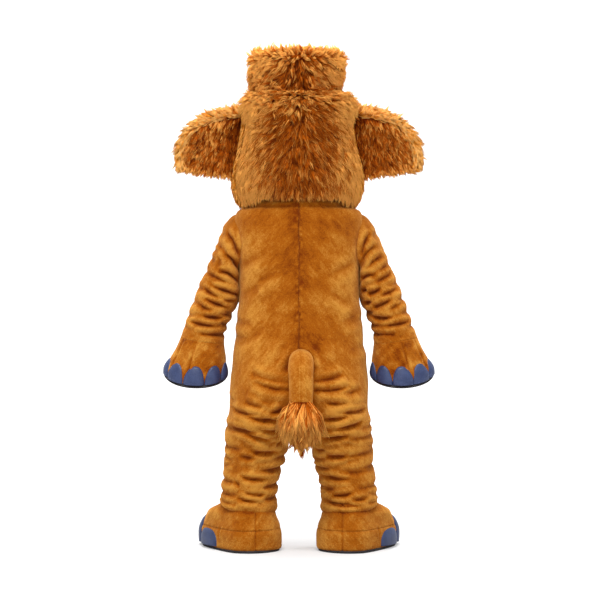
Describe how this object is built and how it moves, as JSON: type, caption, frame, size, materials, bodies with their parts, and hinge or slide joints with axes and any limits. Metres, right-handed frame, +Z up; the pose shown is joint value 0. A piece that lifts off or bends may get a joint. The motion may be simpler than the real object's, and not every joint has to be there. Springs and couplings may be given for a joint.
{
  "type": "mascot costume",
  "caption": "Mammoth mascot costume: furry head with topknot and ears, plush jumpsuit with a tufted tail, hoof gloves and hoof shoe covers.",
  "frame": {"origin": "middle of the suit's neck opening, where the wearer carries the costume, 1385 mm above the floor", "axes": "+Z up, +Y the way that the costume faces, +X the wearer's right"},
  "size_m": [1.075, 0.7307, 1.9874],
  "materials": {
    "plush": "short-pile plush with a mottled nap",
    "long_fur": "long shaggy fur",
    "tip_fur": "long light-tipped fur",
    "short_fur": "short fur",
    "nail": "matt foam with a smooth skin",
    "sole": "dull dark rubber",
    "tusk": "satin cream",
    "eye": "glossy dark"
  },
  "bodies": {
    "root": {"ear_back_left": "long_fur", "ear_back_right": "long_fur", "ear_front_left": "short_fur", "ear_front_right": "short_fur", "ear_rim_left": "tip_fur", "ear_rim_right": "tip_fur", "eye_left": "eye", "eye_right": "eye", "glove_left": "plush", "glove_nail_1_left": "nail", "glove_nail_1_right": "nail", "glove_nail_2_left": "nail", "glove_nail_2_right": "nail", "glove_nail_3_left": "nail", "glove_nail_3_right": "nail", "glove_nail_4_left": "nail", "glove_nail_4_right": "nail", "glove_nail_5_left": "nail", "glove_nail_5_right": "nail", "glove_pad_left": "sole", "glove_pad_right": "sole", "glove_right": "plush", "head_back_left": "long_fur", "head_back_right": "long_fur", "head_cheek_left": "short_fur", "head_cheek_right": "short_fur", "head_face": "short_fur", "shoe_collar_left": "plush", "shoe_collar_right": "plush", "shoe_foot_left": "plush", "shoe_foot_right": "plush", "shoe_nail_1_left": "nail", "shoe_nail_1_right": "nail", "shoe_nail_2_left": "nail", "shoe_nail_2_right": "nail", "shoe_nail_3_left": "nail", "shoe_nail_3_right": "nail", "shoe_nail_4_left": "nail", "shoe_nail_4_right": "nail", "shoe_nail_5_left": "nail", "shoe_nail_5_right": "nail", "shoe_sole_left": "sole", "shoe_sole_right": "sole", "sleeve_left": "plush", "sleeve_right": "plush", "suit_back_left": "plush", "suit_back_right": "plush", "suit_front_left": "plush", "suit_front_right": "plush", "tail_shaft": "plush", "tail_tuft": "tip_fur", "topknot_band": "long_fur", "topknot_lid": "tip_fur", "trunk": "plush", "tusk_left": "tusk", "tusk_right": "tusk"}
  },
  "joints": []
}
